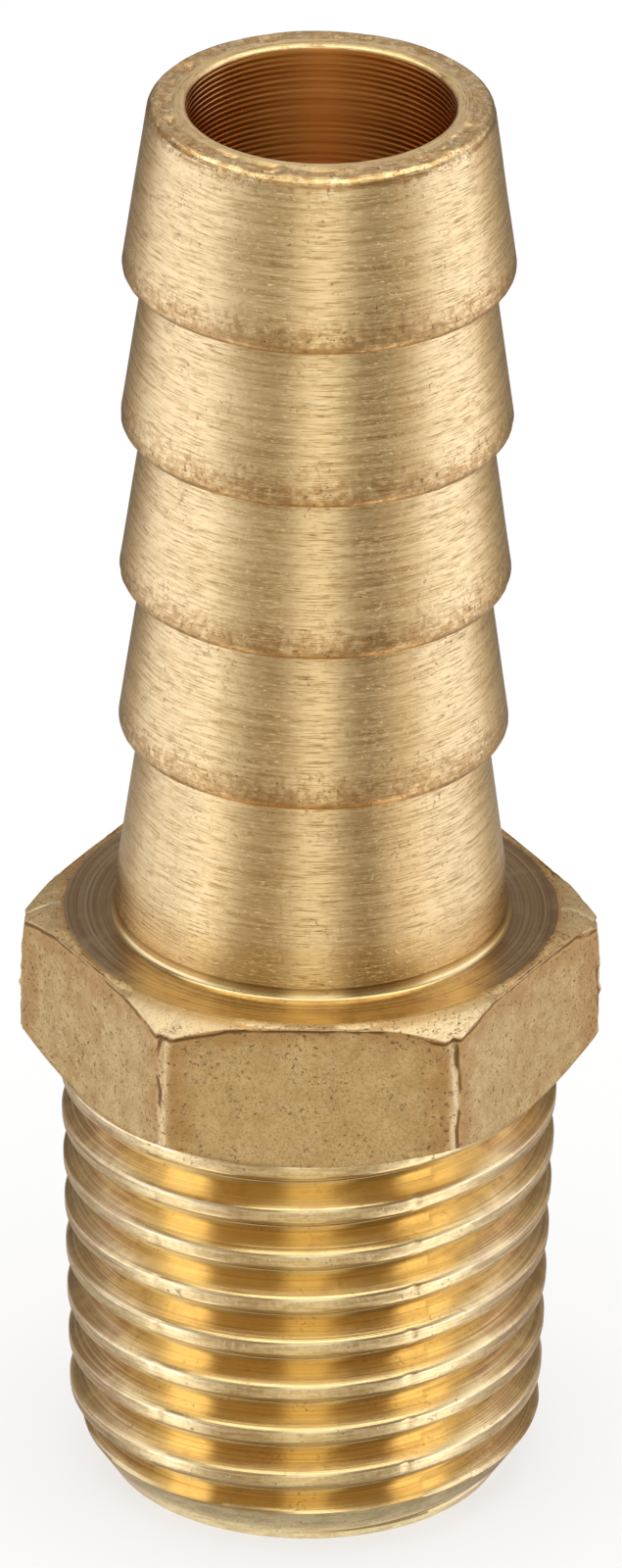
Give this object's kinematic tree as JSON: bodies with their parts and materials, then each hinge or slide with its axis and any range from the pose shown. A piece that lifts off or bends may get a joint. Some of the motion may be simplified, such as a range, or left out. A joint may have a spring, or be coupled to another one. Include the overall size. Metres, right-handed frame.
{
  "type": "hose barb tail",
  "caption": "Brass hose barb tail with a hexagonal wrench collar, a tapered male pipe thread and a straight through bore.",
  "frame": {"origin": "centre of the threaded end's face, on the axis of the bore", "axes": "+Z along the bore towards the hose end; -Y is the normal of one wrench flat, and two corners of the hexagon lie on X"},
  "size_m": [0.016, 0.0138, 0.0413],
  "materials": {
    "brass": "turned satin brass, with blasted flats on the hexagon"
  },
  "bodies": {
    "root": {"hose_barb_tail": "brass"}
  },
  "joints": []
}
